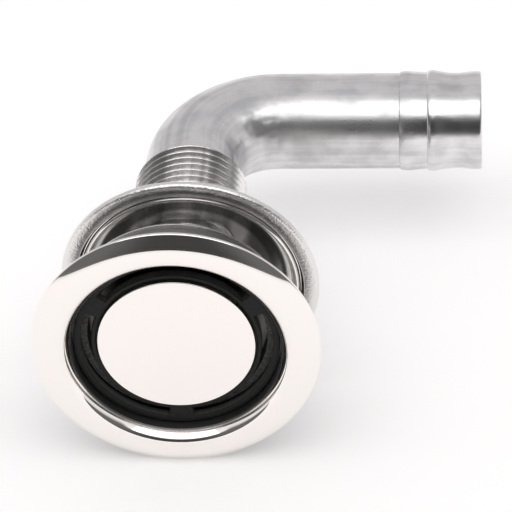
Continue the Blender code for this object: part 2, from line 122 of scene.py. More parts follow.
def fit_piece(mesh_data, name, body, node):
    """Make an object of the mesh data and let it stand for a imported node."""
    tidy(mesh_data)
    mesh = bpy.data.meshes.new(name)
    mesh_data.to_mesh(mesh)
    mesh_data.free()
    mesh.shade_smooth()
    mesh.set_sharp_from_angle(angle=CORNER_ANGLE)
    piece = bpy.data.objects.new(name, mesh)
    bpy.context.scene.collection.objects.link(piece)
    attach(piece, body)
    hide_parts(node)
    print(f"{name}: {len(mesh.polygons)} faces")
    return piece


# %% [markdown]
# ## The face flange
# The face is turned in one piece with its recess and the barrel behind it. Its front is one
# long arc that starts almost flat at the lip and falls away ever faster to the rim. That
# growing slope is what puts a dark band along the upper edge: only the steep part mirrors the
# dim side of the studio, and the flatter part mirrors the pale floor.

# %% Turn the face flange
FLANGE_RADIUS = 25.75 * MM
RIM_THICKNESS = 1.0 * MM
RIM_BACK_CHAMFER = 0.75 * MM
RIM_FRONT_ROUNDING = 0.35 * MM
LIP_CREST_RADIUS = 20.8 * MM
LIP_HEIGHT = 2.98 * MM
LIP_ROUNDING = 1.4 * MM
DOME_START = 3.0
THROAT_SLOPE = 55.0
THROAT_RADIUS = 18.7 * MM
BARREL_RADIUS = 21.2 * MM
BARREL_STRAIGHT = 3.6 * MM
BARREL_SHOULDER_RADIUS = 19.4 * MM
BARREL_BACK_ROUNDING = 1.2 * MM
CHAMBER_RADIUS = 17.6 * MM
CHAMBER_BACK = 7.9 * MM
BARREL_DEPTH = 10.9 * MM
SEAT_GAP = 0.3 * MM
THREAD_RADIUS = 10.4775 * MM
BAFFLE_BACK = 2.2 * MM
TURNING_STEPS = 256


def round_to(section, tip, radius, y, end_slope, steps):
    """Arc from the tip to a point that it reaches at a given slope, in degrees."""
    run, rise = radius - tip.co.x, y - tip.co.y
    start_slope = 2.0 * math.degrees(math.atan2(rise, run)) - end_slope
    first, last = math.radians(start_slope), math.radians(end_slope)
    size = run / (math.sin(last) - math.sin(first))
    centre_r = tip.co.x - size * math.sin(first)
    centre_y = tip.co.y + size * math.cos(first)
    return arc_round(section, tip, centre_r, centre_y, end_slope - start_slope, steps)


def dome_end_slope(tip, rim_r):
    """Slope, in degrees, at which the dome runs smoothly into the rim's rounding."""
    slope = DOME_START
    for guess in range(12):
        run = rim_r + RIM_FRONT_ROUNDING * math.sin(math.radians(slope)) - tip.co.x
        rise = -RIM_THICKNESS - RIM_FRONT_ROUNDING * math.cos(math.radians(slope)) - tip.co.y
        slope = 2.0 * math.degrees(math.atan2(rise, run)) - DOME_START
    return slope, tip.co.x + run, tip.co.y + rise


def turn_face_flange():
    """Lip, domed face, rim, barrel, chamber and throat as one closed section."""
    lip_y = LIP_ROUNDING - LIP_HEIGHT
    throat = math.radians(THROAT_SLOPE)
    throat_top_r = LIP_CREST_RADIUS - LIP_ROUNDING * math.sin(throat)
    throat_top_y = lip_y - LIP_ROUNDING * math.cos(throat)
    section, tip = start_at(throat_top_r, throat_top_y)
    tip = arc_round(section, tip, LIP_CREST_RADIUS, lip_y, THROAT_SLOPE + DOME_START, 20)
    rim_r = FLANGE_RADIUS - RIM_FRONT_ROUNDING
    slope, dome_end_r, dome_end_y = dome_end_slope(tip, rim_r)
    tip = round_to(section, tip, dome_end_r, dome_end_y, slope, 40)
    tip = arc_round(section, tip, rim_r, -RIM_THICKNESS, 90.0 - slope, 8)
    tip = line_to(section, tip, FLANGE_RADIUS, -RIM_BACK_CHAMFER)
    tip = line_to(section, tip, FLANGE_RADIUS - RIM_BACK_CHAMFER, 0.0)
    tip = line_to(section, tip, BARREL_RADIUS, 0.0)
    tip = line_to(section, tip, BARREL_RADIUS, BARREL_STRAIGHT)
    shoulder_y = BARREL_DEPTH - BARREL_BACK_ROUNDING
    tip = line_to(section, tip, BARREL_SHOULDER_RADIUS, shoulder_y)
    shoulder_r = BARREL_SHOULDER_RADIUS - BARREL_BACK_ROUNDING
    tip = arc_round(section, tip, shoulder_r, shoulder_y, 90.0, 12)
    stem_hole = THREAD_RADIUS + SEAT_GAP
    ledge = BAFFLE_BACK + SEAT_GAP
    throat_y = throat_top_y + (throat_top_r - THROAT_RADIUS) * math.tan(throat)
    for radius, y in ((stem_hole, BARREL_DEPTH), (stem_hole, CHAMBER_BACK),
                      (CHAMBER_RADIUS, CHAMBER_BACK), (CHAMBER_RADIUS, ledge),
                      (THROAT_RADIUS, ledge), (THROAT_RADIUS, throat_y)):
        tip = line_to(section, tip, radius, y)
    return turn(section, tip, TURNING_STEPS)


face_flange = fit_piece(turn_face_flange(), "face_flange_turned", "fitting", "face_flange")

# %% [markdown]
# ## The centre cap
# A flat polished disc with a softened edge. The edge is worth modelling: it is the thin
# bright line between the disc and the black baffle. The stud behind it holds the cap.

# %% Turn the centre cap
CAP_RADIUS = 14.1 * MM
CAP_FRONT = -0.05 * MM
CAP_THICKNESS = 1.2 * MM
CAP_EDGE = 0.2 * MM
STUD_RADIUS = 2.0 * MM
STUD_END = 6.3 * MM


def turn_centre_cap():
    """Disc with a rounded edge and the stud on its back."""
    back = CAP_FRONT + CAP_THICKNESS
    section, tip = start_at(0.0, CAP_FRONT)
    tip = line_to(section, tip, CAP_RADIUS - CAP_EDGE, CAP_FRONT)
    tip = arc_round(section, tip, CAP_RADIUS - CAP_EDGE, CAP_FRONT + CAP_EDGE, 90.0, 6)
    for radius, y in ((CAP_RADIUS, back), (STUD_RADIUS, back), (STUD_RADIUS, STUD_END),
                      (0.0, STUD_END)):
        tip = line_to(section, tip, radius, y)
    return turn(section, tip, TURNING_STEPS)


centre_cap = fit_piece(turn_centre_cap(), "centre_cap_turned", "fitting", "centre_cap")

# %% [markdown]
# ## The baffle
# The black ring around the cap is a moulded insert with three long slots and three narrow
# bridges. A boolean would cut the slots, but its edges could not be softened. Here the
# section has vertices at the slots' radii, so the faces of each slot exist as a patch. The
# patches on the front and the back are deleted and their outlines are bridged to walls.

# %% Mould the baffle
BAFFLE_FRONT = 0.6 * MM
BAFFLE_HUB_BACK = 3.3 * MM
BAFFLE_HUB_RADIUS = 6.0 * MM
BAFFLE_WEB_BACK = 2.6 * MM
SLOT_INNER_RADIUS = 15.2 * MM
SLOT_OUTER_RADIUS = 17.2 * MM
SLOT_COUNT = 3
BRIDGE_WIDTH = 4.0 * MM
FIRST_BRIDGE_ANGLE = math.radians(30.0)
SLOT_EDGE = 0.15 * MM
BAFFLE_STEPS = 240


def in_slot(face):
    """True for a face of the front or back that lies where a slot goes."""
    centre = face.calc_center_median()
    radius = math.hypot(centre.x, centre.z)
    if not SLOT_INNER_RADIUS < radius < SLOT_OUTER_RADIUS or abs(face.normal.y) < 0.5:
        return False
    third = FULL_TURN / SLOT_COUNT
    past_bridge = (math.atan2(centre.z, centre.x) - FIRST_BRIDGE_ANGLE) % third
    half_bridge = BRIDGE_WIDTH / (SLOT_INNER_RADIUS + SLOT_OUTER_RADIUS)
    return half_bridge < past_bridge < third - half_bridge


def mould_baffle():
    """Slotted annulus with the cap's pocket and the hub."""
    pocket = CAP_RADIUS + SEAT_GAP
    floor = CAP_FRONT + CAP_THICKNESS + SEAT_GAP
    hole = STUD_RADIUS + SEAT_GAP
    outer = THROAT_RADIUS - SEAT_GAP
    section, tip = start_at(hole, floor)
    for radius, y in ((pocket, floor), (pocket, BAFFLE_FRONT), (SLOT_INNER_RADIUS, BAFFLE_FRONT),
                      (SLOT_OUTER_RADIUS, BAFFLE_FRONT), (outer, BAFFLE_FRONT),
                      (outer, BAFFLE_BACK), (SLOT_OUTER_RADIUS, BAFFLE_BACK),
                      (SLOT_INNER_RADIUS, BAFFLE_BACK), (pocket - SEAT_GAP, BAFFLE_WEB_BACK),
                      (BAFFLE_HUB_RADIUS, BAFFLE_WEB_BACK), (BAFFLE_HUB_RADIUS, BAFFLE_HUB_BACK),
                      (hole, BAFFLE_HUB_BACK)):
        tip = point_to(section, tip, radius, y)
    baffle = turn(section, tip, BAFFLE_STEPS)
    bmesh.ops.delete(baffle, geom=[f for f in baffle.faces if in_slot(f)], context="FACES")
    outlines = [edge for edge in baffle.edges if edge.is_boundary]
    # The cosine of the angle from a slot's middle to the middle of a bridge beside it.
    half_third = math.cos(0.5 * FULL_TURN / SLOT_COUNT)
    for slot in range(SLOT_COUNT):
        middle = FIRST_BRIDGE_ANGLE + FULL_TURN * (slot + 0.5) / SLOT_COUNT
        toward = Vector((math.cos(middle), 0.0, math.sin(middle)))
        own = [e for e in outlines if e.verts[0].co.dot(toward)
               > half_third * math.hypot(e.verts[0].co.x, e.verts[0].co.z)]
        bmesh.ops.bridge_loops(baffle, edges=own)
    near_front = BAFFLE_FRONT + SEAT_GAP
    rims = [e for e in baffle.edges if e.is_manifold and e.calc_face_angle() > CORNER_ANGLE
            and all(v.co.y < near_front for v in e.verts)]
    bmesh.ops.bevel(baffle, geom=rims, offset=SLOT_EDGE, affect="EDGES", segments=3,
                    profile=0.5, material=-1)
    return baffle


baffle = fit_piece(mould_baffle(), "baffle_moulded", "fitting", "baffle")

# %% [markdown]
# ## The threaded stem
# The thread is a real helix. One tooth of its section is spun about the axis while it climbs
# by one pitch per turn, so the end of each turn lands on the start of the next and merging
# joins them. Two planes cut the helix to length and the end is held inside a chamfer. Each cut
# outline is then drawn in to the bore's radius, and the bore joins the two circles.

# %% Cut the thread
THREAD_PITCH = 1.8143 * MM
THREAD_DEPTH = 0.6403 * THREAD_PITCH
THREAD_ROUNDING = 0.1373 * THREAD_PITCH
THREAD_SWEEP = 62.5
THREAD_STEPS = 96
STEM_END = 46.0 * MM
STEM_CHAMFER = 0.3 * MM
FLOW_RADIUS = 7.6 * MM


def open_loops(mesh_data, y):
    """Edges of the open outline that lies in the plane at y."""
    return [e for e in mesh_data.edges if e.is_boundary
            and all(abs(v.co.y - y) < SAME_POINT for v in e.verts)]


def next_loop(mesh_data, edges):
    """Extrude a loop of edges and return the new loop's edges and vertices."""
    made = bmesh.ops.extrude_edge_only(mesh_data, edges=edges)["geom"]
    verts = [g for g in made if isinstance(g, bmesh.types.BMVert)]
    inside = set(verts)
    return [g for g in made if isinstance(g, bmesh.types.BMEdge)
            and g.verts[0] in inside and g.verts[1] in inside], verts


def cut_thread():
    """Helix of one tooth, cut to length, chamfered and closed round the bore."""
    start_y = CHAMBER_BACK - 1.5 * THREAD_PITCH
    root = THREAD_RADIUS - THREAD_DEPTH
    low = root + THREAD_ROUNDING
    high = THREAD_RADIUS - THREAD_ROUNDING
    up = THREAD_ROUNDING * math.sin(math.radians(THREAD_SWEEP))
    inward = THREAD_ROUNDING * math.cos(math.radians(THREAD_SWEEP))
    stem, tip = start_at(root, start_y)
    tip = arc_round(stem, tip, low, start_y, -THREAD_SWEEP, 3)
    crest_y = start_y + 0.5 * THREAD_PITCH
    end_y = start_y + THREAD_PITCH
    tip = point_to(stem, tip, high + inward, crest_y - up)
    tip = arc_round(stem, tip, high, crest_y, 2.0 * THREAD_SWEEP, 6)
    tip = point_to(stem, tip, low - inward, end_y - up)
    arc_round(stem, tip, low, end_y, -THREAD_SWEEP, 3)
    turns = math.ceil((STEM_END - start_y) / THREAD_PITCH) + 1
    bmesh.ops.spin(stem, geom=stem.verts[:] + stem.edges[:], cent=(0.0, 0.0, 0.0),
                   axis=(0.0, 1.0, 0.0), dvec=(0.0, THREAD_PITCH / THREAD_STEPS, 0.0),
                   angle=FULL_TURN * turns, steps=THREAD_STEPS * turns, use_merge=False)
    bmesh.ops.remove_doubles(stem, verts=stem.verts, dist=SAME_POINT)
    for y, side in ((CHAMBER_BACK, -1.0), (STEM_END, 1.0)):
        bmesh.ops.bisect_plane(stem, geom=stem.verts[:] + stem.edges[:] + stem.faces[:],
                               dist=SAME_POINT, plane_co=(0.0, y, 0.0),
                               plane_no=(0.0, side, 0.0), clear_outer=True)
    for vert in stem.verts:
        limit = THREAD_RADIUS - max(0.0, vert.co.y - STEM_END + STEM_CHAMFER)
        radius = math.hypot(vert.co.x, vert.co.z)
        if radius > limit:
            vert.co.x *= limit / radius
            vert.co.z *= limit / radius
    mouths = []
    for y in (CHAMBER_BACK, STEM_END):
        loop, verts = next_loop(stem, open_loops(stem, y))
        for vert in verts:
            shrink = FLOW_RADIUS / math.hypot(vert.co.x, vert.co.z)
            vert.co.x *= shrink
            vert.co.z *= shrink
        mouths += loop
    bmesh.ops.bridge_loops(stem, edges=mouths)
    return stem


threaded_stem = fit_piece(cut_thread(), "threaded_stem_cut", "fitting", "threaded_stem")

# %% [markdown]
# ## The hose tail
# The tail is one tube with a wall. A circle is extruded up to the bend, spun a quarter turn
# through it, and extruded along the straight end while its radius changes for the barbs, the
# waist and the flared mouth. The same circle then goes back inside as the bore, and the last
# loop is bridged to the first, so the tube is closed and hollow.

# %% Bend the tail and form its barbs
TUBE_RADIUS = 9.1 * MM
TAIL_AXIS_Y = 67.3 * MM
BEND_RADIUS = 15.5 * MM
TAIL_END_X = 54.2 * MM
TAIL_STEPS = 128
BEND_STEPS = 48
TAIL_OUTLINE = (  # distance along X and radius, in millimetres
    (38.6, 9.10), (38.72, 9.30), (38.9, 9.36), (39.5, 9.45), (40.1, 9.50), (40.5, 9.49),
    (41.3, 9.42), (42.4, 9.32), (43.4, 9.24), (43.88, 9.22), (44.0, 9.42), (44.2, 9.52),
    (44.6, 9.62), (44.95, 9.65), (45.4, 9.60), (46.2, 9.42), (47.2, 9.22), (48.3, 9.09),
    (49.3, 9.05), (50.2, 9.09), (51.2, 9.20), (52.0, 9.31), (52.6, 9.35), (53.75, 9.35),
    (53.92, 9.317), (54.07, 9.22), (54.17, 9.07), (54.2, 8.90))


def bend_tail():
    """Outer skin out to the mouth, inner skin back, and a bridge between the two."""
    tail = bmesh.new()
    root_y = STEM_END + SEAT_GAP
    bend_y = TAIL_AXIS_Y - BEND_RADIUS
    start = bmesh.ops.create_circle(tail, cap_ends=False, radius=TUBE_RADIUS, segments=TAIL_STEPS,
                                    matrix=Matrix.Translation((0.0, root_y, 0.0))
                                    @ Matrix.Rotation(math.radians(90.0), 4, "X"))
    first = list({edge for vert in start["verts"] for edge in vert.link_edges})
    loop, verts = next_loop(tail, first)
    bmesh.ops.translate(tail, verts=verts, vec=(0.0, bend_y - root_y, 0.0))
    pivot = (BEND_RADIUS, bend_y, 0.0)
    for step in range(BEND_STEPS):
        loop, verts = next_loop(tail, loop)
        bmesh.ops.rotate(tail, verts=verts, cent=pivot,
                         matrix=Matrix.Rotation(math.radians(-90.0 / BEND_STEPS), 3, "Z"))
    x, radius = BEND_RADIUS, TUBE_RADIUS
    stations = [(along * MM, size * MM) for along, size in TAIL_OUTLINE]
    stations += [(TAIL_END_X, FLOW_RADIUS), (BEND_RADIUS, FLOW_RADIUS)]
    for new_x, new_radius in stations:
        loop, verts = next_loop(tail, loop)
        bmesh.ops.scale(tail, verts=verts, vec=(1.0, new_radius / radius, new_radius / radius),
                        space=Matrix.Translation((0.0, -TAIL_AXIS_Y, 0.0)))
        bmesh.ops.translate(tail, verts=verts, vec=(new_x - x, 0.0, 0.0))
        x, radius = new_x, new_radius
    for step in range(BEND_STEPS):
        loop, verts = next_loop(tail, loop)
        bmesh.ops.rotate(tail, verts=verts, cent=pivot,
                         matrix=Matrix.Rotation(math.radians(90.0 / BEND_STEPS), 3, "Z"))
    loop, verts = next_loop(tail, loop)
    bmesh.ops.translate(tail, verts=verts, vec=(0.0, root_y - bend_y, 0.0))
    bmesh.ops.bridge_loops(tail, edges=loop + first)
    return tail


elbow_tail = fit_piece(bend_tail(), "elbow_tail_bent", "fitting", "elbow_tail")

# %% [markdown]
# ## The backing ring and its seal
# The ring hangs loose on the stem, a little off its axis and leaning back on the nut. It is
# turned in its own frame and then placed with one matrix, so the section stays readable. The
# packed ring has a flat land inside the seal. Here it is crowned by a fraction of a
# millimetre, because the photograph shows a bright line there that a flat land cannot mirror.

# %% Turn the backing ring
RING_ASIDE = 1.3 * MM
RING_SETBACK = 19.3 * MM
RING_DROP = 1.05 * MM
RING_LEAN_X = math.radians(3.35)
RING_LEAN_Z = math.radians(1.6)
RING_PLACE = (Matrix.Translation((RING_ASIDE, RING_SETBACK, -RING_DROP))
              @ Matrix.Rotation(RING_LEAN_X, 4, "X") @ Matrix.Rotation(-RING_LEAN_Z, 4, "Z"))
RING_RADIUS = 23.5 * MM
RING_RIM_ROUNDING = 0.9 * MM
RING_RIM_CENTRE = 0.08 * MM
RING_RIM_TURN = 67.0
RING_LIP_WIDTH = 2.55 * MM
RING_LIP_HEIGHT = 0.55 * MM
RING_LIP_END_SLOPE = 12.0
RING_HOLE_RADIUS = 12.6 * MM
RING_LAND_RADIUS = 19.2 * MM
RING_DISH_DEPTH = 2.9 * MM
RING_DISH_WALL_WIDTH = 2.8 * MM
DISH_FLOOR_RADIUS = RING_LAND_RADIUS - RING_DISH_WALL_WIDTH
RING_HUB_RADIUS = 15.0 * MM
RING_HUB_CHAMFER = 0.6 * MM
RING_HUB_BACK = 4.6 * MM
SEAL_WIDTH = 0.35 * MM
SEAL_DEPTH = 0.9 * MM
SNUG = 0.05 * MM                # the seal sits snug in its groove, so only a thin line shows
CREST = 0.30 * MM               # height of the land's crown
SEAL_SOFT = 0.12 * MM
SEAL_OUTER = RING_RADIUS - RING_LIP_WIDTH - SEAT_GAP
SEAL_INNER = SEAL_OUTER - SEAL_WIDTH


def turn_backing_ring():
    """Crowned lip, round rim, coned back, dish, land and groove."""
    rim_r = RING_RADIUS - RING_RIM_ROUNDING
    slope = math.radians(RING_LIP_END_SLOPE)
    section, tip = start_at(SEAL_OUTER + SNUG, -RING_LIP_HEIGHT)
    tip = round_to(section, tip, rim_r + RING_RIM_ROUNDING * math.sin(slope),
                   RING_RIM_CENTRE - RING_RIM_ROUNDING * math.cos(slope), RING_LIP_END_SLOPE, 16)
    tip = arc_round(section, tip, rim_r, RING_RIM_CENTRE,
                    90.0 - RING_LIP_END_SLOPE + RING_RIM_TURN, 24)
    for radius, y in ((RING_HUB_RADIUS + RING_HUB_CHAMFER, RING_HUB_BACK - RING_HUB_CHAMFER),
                      (RING_HUB_RADIUS, RING_HUB_BACK), (RING_HOLE_RADIUS, RING_HUB_BACK),
                      (RING_HOLE_RADIUS, RING_DISH_DEPTH), (DISH_FLOOR_RADIUS, RING_DISH_DEPTH)):
        tip = line_to(section, tip, radius, y)
    tip = arc_round(section, tip, DISH_FLOOR_RADIUS, RING_DISH_DEPTH - RING_DISH_WALL_WIDTH,
                    -90.0, 20)
    groove_floor = SEAL_DEPTH + SEAT_GAP
    # The crown: up to its crest, over it, and down the outer flank to the groove.
    tip = line_to(section, tip, RING_LAND_RADIUS, -0.4 * CREST)
    tip = round_to(section, tip, RING_LAND_RADIUS + 0.7 * CREST, -CREST, 0.0, 8)
    tip = round_to(section, tip, RING_LAND_RADIUS + 1.2 * CREST, -0.85 * CREST, 35.0, 6)
    tip = round_to(section, tip, SEAL_INNER - 0.8 * CREST, CREST, 60.0, 12)
    for radius, y in ((SEAL_INNER - SNUG, 1.2 * CREST), (SEAL_INNER - SNUG, groove_floor),
                      (SEAL_OUTER + SNUG, groove_floor)):
        tip = line_to(section, tip, radius, y)
    ring = turn(section, tip, TURNING_STEPS)
    bmesh.ops.transform(ring, matrix=RING_PLACE, verts=ring.verts)
    return ring


def turn_ring_seal():
    """Square rubber seal with softened front corners."""
    section, tip = start_at(SEAL_INNER, SEAL_DEPTH)
    tip = line_to(section, tip, SEAL_INNER, SEAL_SOFT)
    tip = arc_round(section, tip, SEAL_INNER + SEAL_SOFT, SEAL_SOFT, 90.0, 4)
    tip = line_to(section, tip, SEAL_OUTER - SEAL_SOFT, 0.0)
    tip = arc_round(section, tip, SEAL_OUTER - SEAL_SOFT, SEAL_SOFT, 90.0, 4)
    tip = line_to(section, tip, SEAL_OUTER, SEAL_DEPTH)
    seal = turn(section, tip, TURNING_STEPS)
    bmesh.ops.transform(seal, matrix=RING_PLACE, verts=seal.verts)
    return seal


backing_ring = fit_piece(turn_backing_ring(), "backing_ring_turned", "ring", "backing_ring")
ring_seal = fit_piece(turn_ring_seal(), "ring_seal_moulded", "ring", "ring_seal")

# %% [markdown]
# ## Finishes
# Steel is mostly what it mirrors, so its finish lives in roughness and in very shallow marks.
# Turned steel carries rings about its axis: noise that reads only the radius and the height
# gives exactly those. Heights are written in real micrometres, so one bump node serves every
# piece and a mark has the depth that a tool leaves.

# %% Material tools
MICRON = 1e-6
NOISE_LOW, NOISE_HIGH = 0.3, 0.7  # noise seldom leaves this range


def join(tree, source, target):
    """Link two sockets."""
    tree.links.new(source, target)


def place(tree, kind, **settings):
    """A node with its properties set."""
    made = tree.nodes.new(kind)
    for name, value in settings.items():
        setattr(made, name, value)
    return made


def calc(tree, operation, first, second):
    """A math node on a socket and a socket or number."""
    made = place(tree, "ShaderNodeMath", operation=operation)
    join(tree, first, made.inputs[0])
    if isinstance(second, (int, float)):
        made.inputs[1].default_value = second
    else:
        join(tree, second, made.inputs[1])
    return made.outputs[0]


def blend(tree, first, second, share):
    """A share of the first value and the rest of the second."""
    return calc(tree, "ADD", calc(tree, "MULTIPLY", first, share),
                calc(tree, "MULTIPLY", second, 1.0 - share))


def distance(tree, first, second):
    """Length across two values at right angles."""
    squares = calc(tree, "ADD", calc(tree, "MULTIPLY", first, first),
                   calc(tree, "MULTIPLY", second, second))
    return calc(tree, "SQRT", squares, 0.0)


def noise(tree, coordinates, scale, detail=2.0):
    """Noise value on the given coordinates, scale in cells per metre."""
    made = place(tree, "ShaderNodeTexNoise")
    join(tree, coordinates, made.inputs["Vector"])
    made.inputs["Scale"].default_value = scale
    made.inputs["Detail"].default_value = detail
    return made.outputs["Fac"]


def spread(tree, value, low, high):
    """Map the middle of a noise to a range."""
    made = place(tree, "ShaderNodeMapRange")
    join(tree, value, made.inputs["Value"])
    made.inputs["From Min"].default_value = NOISE_LOW
    made.inputs["From Max"].default_value = NOISE_HIGH
    made.inputs["To Min"].default_value = low
    made.inputs["To Max"].default_value = high
    return made.outputs["Result"]


def turned_coordinates(tree, origin=(0.0, 0.0, 0.0), turning=(0.0, 0.0, 0.0)):
    """Radius and height about an axis along Y, as a vector."""
    source = place(tree, "ShaderNodeTexCoord").outputs["Object"]
    centred = place(tree, "ShaderNodeMapping", vector_type="TEXTURE")
    centred.inputs["Location"].default_value = origin
    centred.inputs["Rotation"].default_value = turning
    join(tree, source, centred.inputs["Vector"])
    parts = place(tree, "ShaderNodeSeparateXYZ")
    join(tree, centred.outputs["Vector"], parts.inputs[0])
    rings = place(tree, "ShaderNodeCombineXYZ")
    join(tree, distance(tree, parts.outputs["X"], parts.outputs["Z"]), rings.inputs["X"])
    join(tree, parts.outputs["Y"], rings.inputs["Y"])
    return centred.outputs["Vector"], rings.outputs[0]


def start_finish(name, colour, metallic):
    """An empty finish with its uniform values on the shader's own sockets."""
    finish = bpy.data.materials.new(name)
    finish.use_nodes = True
    shader = finish.node_tree.nodes["Principled BSDF"]
    shader.inputs["Base Color"].default_value = (*colour, 1.0)
    shader.inputs["Metallic"].default_value = metallic
    finish.diffuse_color = (*colour, 1.0)
    return finish, finish.node_tree, shader


def add_bump(tree, shader, height, depth):
    """Marks as deep as depth, in metres."""
    bump = place(tree, "ShaderNodeBump")
    bump.inputs["Distance"].default_value = depth
    join(tree, height, bump.inputs["Height"])
    join(tree, bump.outputs["Normal"], shader.inputs["Normal"])


def ramp_between(tree, value, start, end):
    """0 before start and 1 past end, with a soft step between them."""
    made = place(tree, "ShaderNodeMapRange", interpolation_type="SMOOTHSTEP")
    join(tree, value, made.inputs["Value"])
    made.inputs["From Min"].default_value = start
    made.inputs["From Max"].default_value = end
    return made.outputs["Result"]


def mix_colours(tree, factor, first, second):
    """Blend two colours, each a tuple or a socket."""
    made = place(tree, "ShaderNodeMix", data_type="RGBA")
    join(tree, factor, made.inputs["Factor"])
    for socket, value in zip([s for s in made.inputs if s.type == "RGBA"], (first, second)):
        if isinstance(value, tuple):
            socket.default_value = (*value, 1.0)
        else:
            join(tree, value, socket)
    return [s for s in made.outputs if s.type == "RGBA"][0]


# %% [markdown]
# One steel finish, with its tones and depths as settings, serves every turned piece. A zone of
# a piece gets another skin where a value such as the radius or the height runs from a start to
# an end. The flange's back is duller than its face and painted dark as shade. Its throat and
# chamber are painted darker still, as shade in the recess, and the barrel's burnished edge keeps
# a bright steel tone. The ring's lip is grained, and its dish is painted dark as shade, with a
# lighter painted shade round the hole. The thread is different: its flanks carry a painted
# sheen, light and dark streaks that run along the stem.

# %% Steel finishes
POLISHED_COLOUR = (0.94, 0.90, 0.875)
BACK_PAINTED_SHADE = (0.31, 0.305, 0.30)
BARREL_EDGE_COLOUR = (0.92, 0.90, 0.89)
THROAT_PAINTED_SHADE = (0.24, 0.24, 0.235)
CAP_COLOUR = (0.96, 0.915, 0.89)
RING_COLOUR = (0.90, 0.87, 0.85)
LIP_COLOUR = (0.82, 0.80, 0.79)
DISH_PAINTED_SHADE = (0.22, 0.215, 0.21)
HOLE_PAINTED_SHADE = (0.66, 0.645, 0.64)
THREAD_SHEEN_DARK = (0.34, 0.33, 0.33)
THREAD_SHEEN_LIGHT = (0.88, 0.86, 0.85)
NUT_COLOUR = (0.60, 0.58, 0.57)
SCREEN_PAINTED_SHADE = (0.32, 0.31, 0.30)
PATCHES, LATHE_STREAKS, LATHE_MARKS = 180.0, 2600.0, 5200.0  # cells per metre
LIP_GRAIN, LIP_GRAIN_DEPTH = 2800.0, 95.0 * MICRON
THREAD_STREAKS, THREAD_GRAIN = 330.0, 4200.0
THREAD_STRETCH = (1.0, 0.03, 1.0)


def turned_steel(name, colour, smooth, rough, mark_depth, origin=(0.0, 0.0, 0.0),
                 turning=(0.0, 0.0, 0.0)):
    """Steel with faint lathe rings and a patchy polish."""
    finish, tree, shader = start_finish(name, colour, 1.0)
    body, rings = turned_coordinates(tree, origin, turning)
    patches = noise(tree, body, PATCHES, 4.0)
    streaks = noise(tree, rings, LATHE_STREAKS, 3.0)
    mixed = blend(tree, patches, streaks, 0.6)
    join(tree, spread(tree, mixed, smooth, rough), shader.inputs["Roughness"])
    add_bump(tree, shader, noise(tree, rings, LATHE_MARKS, 2.0), mark_depth)
    return finish


def reskin(finish, value, start, end, colour, roughness):
    """Change a finish's skin as a value runs from start to end, and return that mask."""
    tree = finish.node_tree
    mask = ramp_between(tree, value, start, end)
    shader = tree.nodes["Principled BSDF"]
    base = shader.inputs["Base Color"]
    under = base.links[0].from_socket if base.links else tuple(base.default_value[:3])
    join(tree, mix_colours(tree, mask, under, colour), base)
    polish = shader.inputs["Roughness"].links[0].from_socket
    unmasked = calc(tree, "SUBTRACT", calc(tree, "MULTIPLY", mask, -1.0), -1.0)
    kept = calc(tree, "MULTIPLY", polish, unmasked)
    added = calc(tree, "MULTIPLY", mask, roughness)
    join(tree, calc(tree, "ADD", kept, added), shader.inputs["Roughness"])
    return mask


def add_grain(finish, coordinates, mask, scale, depth):
    """Coarser relief under a finish's own marks, where the mask is 1."""
    tree = finish.node_tree
    grain = place(tree, "ShaderNodeBump")
    grain.inputs["Distance"].default_value = depth
    masked = calc(tree, "MULTIPLY", noise(tree, coordinates, scale, 2.0), mask)
    join(tree, masked, grain.inputs["Height"])
    own_marks = tree.nodes["Principled BSDF"].inputs["Normal"].links[0].from_node
    join(tree, grain.outputs["Normal"], own_marks.inputs["Normal"])


def radius_and_height(finish, origin=(0.0, 0.0, 0.0), turning=(0.0, 0.0, 0.0)):
    """Coordinates, radius and height about a finish's axis, for its masks."""
    body, rings = turned_coordinates(finish.node_tree, origin, turning)
    parts = place(finish.node_tree, "ShaderNodeSeparateXYZ")
    join(finish.node_tree, rings, parts.inputs[0])
    return body, parts.outputs["X"], parts.outputs["Y"]


polished = turned_steel("polished_face", POLISHED_COLOUR, 0.03, 0.09, 0.08 * MICRON)
face_radius, face_height = radius_and_height(polished)[1:]
# The flange's back is made rougher and painted dark, as shade on the side turned from the lamp.
reskin(polished, face_height, -0.03 * MM, -0.005 * MM, BACK_PAINTED_SHADE, 0.30)
# The barrel's burnished edge keeps a bright steel tone and is left out of that painted shade.
reskin(polished, face_height, 8.0 * MM, 9.6 * MM, BARREL_EDGE_COLOUR, 0.20)
# The throat, the chamber and the inner back are painted darker, as shade inside the recess.
reskin(polished, face_radius, 19.1 * MM, 18.85 * MM, THROAT_PAINTED_SHADE, 0.42)
cap_polish = turned_steel("polished_cap", CAP_COLOUR, 0.02, 0.07, 0.05 * MICRON)
RING_ORIGIN = (RING_ASIDE, RING_SETBACK, -RING_DROP)
RING_TURNING = (RING_LEAN_X, 0.0, -RING_LEAN_Z)
ring_polish = turned_steel("ring_polish", RING_COLOUR, 0.08, 0.20, 1.2 * MICRON,
                           RING_ORIGIN, RING_TURNING)
ring_body, ring_radius = radius_and_height(ring_polish, RING_ORIGIN, RING_TURNING)[:2]
on_lip = reskin(ring_polish, ring_radius, SEAL_OUTER, SEAL_OUTER + SEAT_GAP, LIP_COLOUR, 0.26)
add_grain(ring_polish, ring_body, on_lip, LIP_GRAIN, LIP_GRAIN_DEPTH)
# The dish is painted dark as shade, and round the hole the painted shade is lighter.
reskin(ring_polish, ring_radius, DISH_FLOOR_RADIUS + 1.2 * MM, DISH_FLOOR_RADIUS + 0.6 * MM,
       DISH_PAINTED_SHADE, 0.24)
reskin(ring_polish, ring_radius, DISH_FLOOR_RADIUS - 1.2 * MM, DISH_FLOOR_RADIUS - 2.2 * MM,
       HOLE_PAINTED_SHADE, 0.20)


